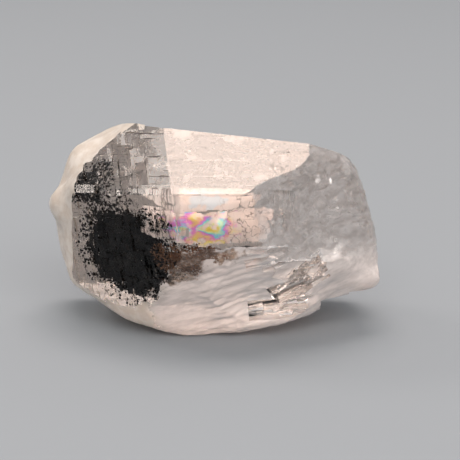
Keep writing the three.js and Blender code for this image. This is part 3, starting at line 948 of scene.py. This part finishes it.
def face_finish():
    """Bright natural faces, with fine growth lines across the crystal and faint smudges, and a painted
    pinkish sheen on the upper front face.
    """
    material, tree, shader = quartz_material("smooth_crystal_face")
    shader.inputs["Specular Tint"].default_value = (FACE_MIRRORING, FACE_MIRRORING, FACE_MIRRORING, 1)
    place = millimetres(tree)
    # The upper front face gets a painted pinkish-cream sheen that stands in for the warm top light's
    # reflection, and it lets less light through there.
    upper = near_plane(tree, place, SHOULDER_CORNER, UPPER_FRONT_NORMAL, 0.5)
    smudge = band(tree, noise(tree, place, 3.5, 4.0), 0.5, 0.75)
    painted_sheen = blend(tree, noise(tree, place, 1.2, 4.0, 0.6), (0.98, 0.84, 0.77), (0.9, 0.77, 0.69))
    colour = blend(tree, smudge, CLEAR_TINT, (0.93, 0.86, 0.8))
    feed(shader, "Base Color", blend(tree, upper, colour, painted_sheen))
    feed(shader, "Roughness", band(tree, noise(tree, place, 1.3, 3.0), 0.35, 0.8, 0.03, 0.2))
    sheen_share = times(tree, upper, band(tree, smudge, 0.0, 1.0, 0.25, 0.37))
    clear = calculate(tree, "SUBTRACT", band(tree, smudge, 0.0, 1.0, 1.0, 0.985), sheen_share)
    feed(shader, "Transmission Weight", clear)
    lines = noise(tree, millimetres(tree, (1.0, 0.06, 0.06)), 0.7, 4.0, 0.6)
    bump(tree, shader, lines, 0.05, 0.35)
    return material


def painted_glow_share(tree, place, across):
    """How much painted pink glow the break gets, standing in for warm light scattered inside it: most low
    down on the left, less on the lobe, not on the right end.
    """
    height = coordinate(tree, place, "Z")
    low_left = times(tree, band(tree, height, *GLOW_FADE_Z), band(tree, across, *GLOW_FADE_X))
    return calculate(tree, "MAXIMUM", low_left, times(tree, band(tree, height, *LOBE_GLOW_FADE_Z), 0.7))


def break_relief(tree, place, skin):
    """Fine hackles on the break, and an even grain on the skin."""
    hackle = noise(tree, millimetres(tree, (0.16, 1.0, 1.0), BREAK_TURN), 0.5, 3.0, 0.55)
    grain = noise(tree, place, 0.7, 4.0, 0.6)
    broken = calculate(tree, "SUBTRACT", 1.0, skin)
    return calculate(tree, "ADD", times(tree, hackle, broken), times(tree, grain, skin))


def rough_finish():
    """Broken quartz on the right, passing into the milky skin on the left, with painted pink glow low down.
    """
    material, tree, shader = quartz_material("rough_quartz")
    place = millimetres(tree)
    wander = times(tree, noise(tree, place, 5.0, 3.0), 9.0)
    across = calculate(tree, "ADD", coordinate(tree, place, "X"), wander)
    skin = band(tree, across, *SKIN_FADE_X, 1.0, 0.0)
    # Painted pink glow standing in for warm light from inside, which also makes the break milkier where it
    # lies.
    pink = painted_glow_share(tree, place, across)
    cloud = noise(tree, place, 2.4, 5.0, 0.6)
    streaks = noise(tree, millimetres(tree, (0.22, 1.0, 1.0), BREAK_TURN), 1.1, 4.0, 0.6)
    stain = calculate(tree, "MAXIMUM", *(patch(tree, place, *oval, 7.0) for oval in HALO_OVALS))
    mottled = band(tree, noise(tree, place, 0.7, 3.0), 0.35, 0.55, 0.45, 0.9)
    break_colour = blend(tree, pink, BREAK_GREY, BREAK_GLOW_PINK)
    break_colour = blend(tree, times(tree, stain, mottled), break_colour, HALO_BROWN)
    cream = blend(tree, band(tree, cloud, 0.35, 0.65), SKIN_DARK, SKIN_PALE)
    feed(shader, "Base Color", blend(tree, skin, break_colour, cream))
    frost = band(tree, streaks, 0.35, 0.7, 0.04, 0.24)
    feed(shader, "Roughness", calculate(tree, "ADD", frost, times(tree, skin, 0.25)))
    halo = times(tree, stain, band(tree, cloud, 0.3, 0.5))
    milky = calculate(tree, "MAXIMUM", skin, times(tree, pink, 1.1))
    milky = times(tree, milky, calculate(tree, "SUBTRACT", 1.0, halo))
    clear = band(tree, streaks, 0.35, 0.65, 0.78, 0.93)
    feed(shader, "Transmission Weight", calculate(tree, "SUBTRACT", clear, times(tree, milky, 0.42)))
    bump(tree, shader, break_relief(tree, place, skin), 0.13, 0.55)
    return material


def back_finish():
    """The flat back and resting faces, frosted over."""
    material, tree, shader = quartz_material("frosted_back_face")
    place = millimetres(tree)
    cloud = noise(tree, place, 1.4, 6.0, 0.7)
    broad = noise(tree, place, 7.0, 3.0)
    feed(shader, "Base Color", blend(tree, broad, (0.88, 0.83, 0.79), (0.97, 0.94, 0.92)))
    feed(shader, "Roughness", band(tree, cloud, 0.3, 0.7, 0.22, 0.4))
    speckled = times(tree, band(tree, cloud, 0.25, 0.75), 0.14)
    clear = calculate(tree, "ADD", speckled, band(tree, broad, 0.3, 0.7, 0.68, 0.8))
    feed(shader, "Transmission Weight", clear)
    lines = noise(tree, millimetres(tree, (0.1, 1.0, 1.0)), 0.6, 4.0, 0.6)
    bump(tree, shader, lines, 0.08, 0.6)
    return material


def dark_finish():
    """A black mineral that hardly mirrors, because quartz closes round it."""
    material, tree, shader = new_material("dark_mineral")
    place = millimetres(tree)
    tone = band(tree, noise(tree, place, 0.8, 3.0), 0.45, 0.7)
    feed(shader, "Base Color", blend(tree, tone, (0.002, 0.0018, 0.0016), (0.014, 0.008, 0.005)))
    feed(shader, "Roughness", band(tree, noise(tree, place, 0.3, 3.0), 0.3, 0.7, 0.25, 0.6))
    shader.inputs["IOR"].default_value = 1.15
    shader.inputs["Specular IOR Level"].default_value = 0.12
    bump(tree, shader, noise(tree, place, 0.4, 3.0), 0.08)
    return material


def brown_finish():
    material, tree, shader = new_material("brown_dust")
    tone = noise(tree, millimetres(tree), 1.2, 3.0)
    feed(shader, "Base Color", blend(tree, tone, (0.1, 0.035, 0.012), (0.42, 0.2, 0.09)))
    shader.inputs["Roughness"].default_value = 0.6
    return material


def fracture_marks(tree, place):
    """Dark lines on the bright fracture: upright bars on the left and cracks on the right."""
    across = coordinate(tree, place, "X")
    bars = crack_lines(tree, millimetres(tree, (1.0, 0.16, 0.16)), 1.1, 0.05)
    bars = times(tree, bars, band(tree, across, -6.5, -8.0))
    cracks = crack_lines(tree, place, 2.6, 0.02)
    cracks = times(tree, cracks, calculate(tree, "MAXIMUM", band(tree, across, 1.0, 4.0), 0.25))
    return calculate(tree, "MAXIMUM", bars, cracks)


def pink_finish():
    """The pale pink sheen of the fracture behind the front face, with a patch of rainbow film."""
    material, tree, shader = new_material("pink_film")
    place = millimetres(tree)
    tone = noise(tree, place, 3.0, 4.0)
    colour = blend(tree, tone, (0.97, 0.84, 0.78), (1.0, 0.95, 0.92))
    shown = times(tree, patch(tree, place, *RAINBOW_OVAL, 6.0),
                  band(tree, noise(tree, place, 2.2, 4.0, 0.6), 0.38, 0.5))
    film = film_colours(tree, noise(tree, millimetres(tree, (0.8, 1.0, 1.2)), 3.6, 2.5))
    colour = blend(tree, times(tree, shown, 0.9), colour, film)
    bluish = times(tree, patch(tree, place, *BLUE_OVAL, 5.0), 0.7)
    colour = blend(tree, bluish, colour, (0.8, 0.92, 1.0))
    marks = times(tree, fracture_marks(tree, place), 0.7)
    feed(shader, "Base Color", blend(tree, marks, colour, (0.16, 0.11, 0.09)))
    feed(shader, "Roughness", band(tree, tone, 0.3, 0.7, 0.5, 0.62))
    shader.inputs["Metallic"].default_value = 0.95
    shader.inputs["Alpha"].default_value = 0.85
    bump(tree, shader, noise(tree, millimetres(tree, (1.0, 0.2, 0.2)), 0.6, 3.0), 0.06, 0.5)
    return material


def silver_finish():
    material, tree, shader = new_material("silver_film")
    tone = noise(tree, millimetres(tree), 2.0, 3.0)
    feed(shader, "Base Color", blend(tree, tone, (0.75, 0.73, 0.72), (0.97, 0.95, 0.94)))
    feed(shader, "Roughness", band(tree, tone, 0.3, 0.7, 0.15, 0.5))
    shader.inputs["Metallic"].default_value = 0.7
    return material


def plain_floor_finish():
    material, _, shader = new_material("pale_floor")
    shader.inputs["Base Color"].default_value = FLOOR_COLOUR
    shader.inputs["Roughness"].default_value = 0.85
    return material


def make_floor():
    bpy.ops.mesh.primitive_plane_add(size=FLOOR_SIZE, location=(0, 0, 0))
    floor = bpy.context.object
    floor.name = "floor"
    floor.data.materials.append(plain_floor_finish())


def make_room_light():
    world = bpy.data.worlds.new("soft_room")
    bpy.context.scene.world = world
    world.use_nodes = True
    tree = world.node_tree
    place = add_node(tree, "ShaderNodeTexCoord").outputs["Generated"]
    colour = blend(tree, band(tree, coordinate(tree, place, "Z"), -0.1, 0.9), ROOM_LOW, ROOM_HIGH)
    tree.links.new(colour, tree.nodes["Background"].inputs["Color"])
    tree.nodes["Background"].inputs["Strength"].default_value = ROOM_STRENGTH


def make_softboxes():
    aim = Vector((0, 0, 0.03))
    for name, (direction, distance, sides, brightness, colour) in SOFTBOXES.items():
        lamp_data = bpy.data.lights.new(name, "AREA")
        lamp_data.shape = "RECTANGLE"
        lamp_data.size, lamp_data.size_y = sides
        lamp_data.energy = brightness * math.pi * sides[0] * sides[1]
        lamp_data.color = colour
        lamp = bpy.data.objects.new(name, lamp_data)
        lamp.location = aim + distance * Vector(direction).normalized()
        lamp.rotation_euler = (aim - lamp.location).to_track_quat("-Z", "Y").to_euler()
        bpy.context.scene.collection.objects.link(lamp)


def make_camera():
    camera = bpy.data.cameras.new("camera")
    camera.sensor_width = SENSOR_WIDTH
    camera.lens = FOCAL_LENGTH_PIXELS / IMAGE_WIDTH_PIXELS * SENSOR_WIDTH
    camera.clip_end = 20
    eye = bpy.data.objects.new("camera", camera)
    forwards = np.array([0, math.cos(VIEW_DOWN), -math.sin(VIEW_DOWN)])
    eye.location = in_place(CAMERA_AIM) - CAMERA_DISTANCE * forwards
    eye.rotation_euler = (math.pi / 2 - VIEW_DOWN, 0, 0)
    bpy.context.scene.collection.objects.link(eye)
    bpy.context.scene.camera = eye


def set_picture():
    scene = bpy.context.scene
    scene.view_settings.view_transform = "Standard"
    scene.cycles.use_denoising = True
    scene.cycles.max_bounces = 32
    scene.cycles.diffuse_bounces = 8
    scene.cycles.glossy_bounces = 24
    scene.cycles.transmission_bounces = 24
    scene.cycles.transparent_max_bounces = 16


def turned_about_z(points, degrees):
    turn = math.radians(degrees)
    x, y, z = np.asarray(points).T
    turned = (x * math.cos(turn) - y * math.sin(turn), x * math.sin(turn) + y * math.cos(turn), z)
    return np.stack(turned, axis=1)


def dark_core():
    """The solid heart of the inclusion, a ragged flat lump."""
    direction, faces = unit_ball(5)
    radius = (np.abs(direction) ** 2.4).sum(axis=1) ** (-1 / 2.4)
    radius *= 0.86 + 0.26 * layered_noise(direction * 2.4, 4, 5)
    points = direction * np.array(CORE_HALF_SIZES) * radius[:, None]
    return new_object("dark_core", turned_about_z(points, INCLUSION_TURN) + np.array(CORE_CENTRE), faces)


def make_inclusion(crystal):
    tree = grain_tree()
    black, brown = dark_finish(), brown_finish()
    core = dark_core()
    core.data.materials.clear()
    core.data.materials.append(black)
    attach(core, "root")
    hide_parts("dark_inclusion")
    for name, cloud in GRAIN_CLOUDS.items():
        count, centre, half_sizes, turn, gathering, clump, clumping, grain = cloud
        seed_mesh = bpy.data.meshes.new(name + "_start")
        piece = grown(name, seed_mesh, tree, {
            "Count": count, "Seed": 7, "Centre": tuple(in_place(centre)),
            "Half Sizes": tuple(MM * v for v in half_sizes), "Turn": (0.0, 0.0, math.radians(turn)),
            "Gathering": gathering, "Clump Size": clump * MM, "Clumping": clumping,
            "Grain Size": grain * MM, "Clearance": GRAIN_CLEARANCE * MM, "Crystal": crystal,
            "Material": brown if "brown" in name else black})
        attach(piece, "root")


def wavy_sheet(name, middle, outward, sides, wave):
    """A gently waving patch of small squares with a ragged edge."""
    normal = unit(outward)
    along = in_face([1, 0, 0], normal)
    edge = np.cross(normal, along)
    steps = [int(side / SHEET_PITCH) for side in sides]
    a, e = np.meshgrid(np.linspace(-1, 1, steps[0]), np.linspace(-1, 1, steps[1]), indexing="ij")
    flat = (np.array(middle) + a[..., None] * along * sides[0] / 2 + e[..., None] * edge * sides[1] / 2)
    points = flat + normal * (wave * soft_noise(flat / 6.0, 31))[..., None]
    ragged = (a ** 4 + e ** 4) ** 0.25 + 0.2 * layered_noise(flat / 2.4, 4, 17) < 0.88
    index = np.arange(a.size).reshape(a.shape)
    faces = [(index[i, j], index[i + 1, j], index[i + 1, j + 1], index[i, j + 1])
             for i in range(steps[0] - 1) for j in range(steps[1] - 1) if ragged[i, j]]
    mesh = bpy.data.meshes.new(name + "_sheet")
    corners = [tuple(p) for p in in_place(points.reshape(-1, 3))]
    mesh.from_pydata(corners, [], [tuple(map(int, f)) for f in faces])
    return mesh


def trim_to_crystal(sheet, crystal, clearance):
    """Takes away the faces of a sheet that come too near the crystal's surface or leave it."""
    body = bmesh.new()
    body.from_mesh(crystal.data)
    surface = BVHTree.FromBMesh(body)
    body.free()
    leaf = bmesh.new()
    leaf.from_mesh(sheet)
    outside = []
    for vertex in leaf.verts:
        nearest, normal, _, distance = surface.find_nearest(vertex.co)
        if distance < clearance or (vertex.co - nearest).dot(normal) > 0:
            outside.append(vertex)
    bmesh.ops.delete(leaf, geom=outside, context="VERTS")
    leaf.to_mesh(sheet)
    leaf.free()


def smooth_up_to(piece, degrees):
    """Smooth shading, but for the edges sharper than this."""
    for polygon in piece.data.polygons:
        polygon.use_smooth = True
    piece.data.set_sharp_from_angle(angle=math.radians(degrees))


def make_bright_fracture(crystal):
    """The fracture behind the front face, which throws the light from above forwards."""
    bend = in_place([BRIGHT_FRACTURE_BEND, 0, 0])[0]
    joined = bmesh.new()
    for leaf in BRIGHT_FRACTURE:
        sheet = wavy_sheet("bright_fracture", *leaf)
        for vertex in sheet.vertices:
            vertex.co.y += BRIGHT_FRACTURE_SLOPE * max(0.0, bend - vertex.co.x)
        trim_to_crystal(sheet, crystal, LEAF_CLEARANCE * MM)
        joined.from_mesh(sheet)
    mesh = bpy.data.meshes.new("bright_fracture")
    joined.to_mesh(mesh)
    joined.free()
    piece = bpy.data.objects.new("bright_fracture", mesh)
    bpy.context.scene.collection.objects.link(piece)
    piece.modifiers.new("wall", "SOLIDIFY").thickness = LEAF_THICKNESS * MM
    keep_evaluated_mesh(piece)
    piece.data.materials.append(pink_finish())
    smooth_up_to(piece, SHARP_FILM_EDGE)
    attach(piece, "root")
    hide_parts("fracture_film")


def make_fractures(crystal):
    tree = flake_tree()
    silver = silver_finish()
    for name, (middle, outward, sides, wave, density, size, tilt, clump, clumping) in FRACTURES.items():
        sheet = wavy_sheet(name, middle, outward, sides, wave)
        piece = grown(name, sheet, tree, {
            "Density": density, "Seed": 3, "Flake Size": size * MM, "Tilt": tilt,
            "Clump Size": clump * MM, "Clumping": clumping, "Clearance": FLAKE_CLEARANCE * MM,
            "Crystal": crystal, "Material": silver})
        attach(piece, "root")


def dress_crystal(crystal):
    for slot, finish in enumerate((rough_finish(), face_finish(), back_finish())):
        crystal.data.materials[slot] = finish
    smooth_up_to(crystal, SHARP_EDGE)
    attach(crystal, "root")
    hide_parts("quartz_upper", "quartz_lower")


make_floor()
make_room_light()
make_softboxes()
make_camera()
set_picture()
crystal = make_crystal()
make_inclusion(crystal)
make_fractures(crystal)
make_bright_fracture(crystal)
dress_crystal(crystal)
